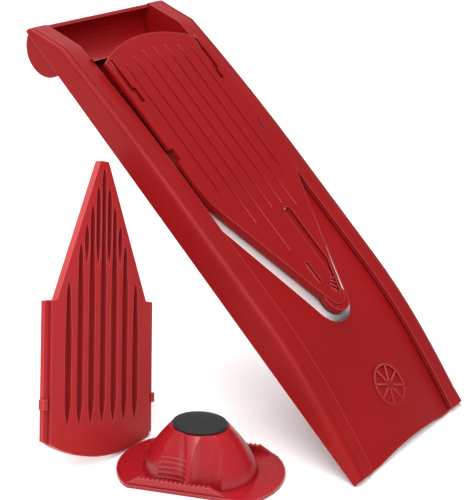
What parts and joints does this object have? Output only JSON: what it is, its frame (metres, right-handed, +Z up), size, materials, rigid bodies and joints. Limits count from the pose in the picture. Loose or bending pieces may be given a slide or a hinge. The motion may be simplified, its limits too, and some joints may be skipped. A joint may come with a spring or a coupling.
{
  "type": "v-blade mandoline slicer",
  "caption": "V-blade mandoline slicer leaning with its thickness insert in place, plus a fluted julienne insert and a domed food holder with a soft cap and pins.",
  "frame": {"origin": "bottom centre of the set's bounding box, on the table", "axes": "+Z up, +X towards the slicer's foot, +Y across the slicer, away from the food holder"},
  "size_m": [0.2558, 0.2426, 0.2414],
  "materials": {
    "red_plastic": "glossy",
    "insert_plastic": "glossy",
    "julienne_plastic": "glossy",
    "holder_plastic": "glossy",
    "blade_steel": "polished",
    "soft_cap": "matte"
  },
  "bodies": {
    "slicer": {"frame": "red_plastic", "v_blade": "blade_steel"},
    "insert": {"thickness_insert": "insert_plastic"},
    "latch": {"thickness_latch": "insert_plastic"},
    "julienne": {"julienne_insert": "julienne_plastic", "julienne_blade_1": "blade_steel", "julienne_blade_2": "blade_steel", "julienne_blade_3": "blade_steel", "julienne_blade_4": "blade_steel", "julienne_blade_5": "blade_steel", "julienne_blade_6": "blade_steel", "julienne_blade_7": "blade_steel", "julienne_blade_8": "blade_steel", "julienne_blade_9": "blade_steel", "julienne_blade_10": "blade_steel", "julienne_blade_11": "blade_steel"},
    "holder": {"holder_body": "holder_plastic"},
    "pusher": {"plunger": "holder_plastic", "holder_cap": "soft_cap", "plunger_screw": "blade_steel", "food_pin_1": "blade_steel", "food_pin_2": "blade_steel", "food_pin_3": "blade_steel", "food_pin_4": "blade_steel", "food_pin_5": "blade_steel", "food_pin_6": "blade_steel", "food_pin_7": "blade_steel", "food_pin_8": "blade_steel"}
  },
  "joints": [
    {"name": "insert_slide", "type": "slide", "parent": "slicer", "child": "insert", "axis": [-0.7206, 0, 0.6934], "range_m": [0, 0.01]},
    {"name": "latch_flex", "type": "hinge", "parent": "insert", "child": "latch", "pos_m": [0.01905, 0.06681, 0.12868], "axis": [0, 1, 0], "range_deg": [0, 2], "stiffness_Nm_per_rad": 0.6},
    {"name": "julienne_shift", "type": "slide", "parent": "slicer", "child": "julienne", "axis": [0, -1, 0], "range_m": [0, 0.06]},
    {"name": "holder_shift", "type": "slide", "parent": "slicer", "child": "holder", "axis": [0, -1, 0], "range_m": [0, 0.06]},
    {"name": "pusher_slide", "type": "slide", "parent": "holder", "child": "pusher", "axis": [0, 0, 1], "range_m": [0, 0.016]}
  ]
}
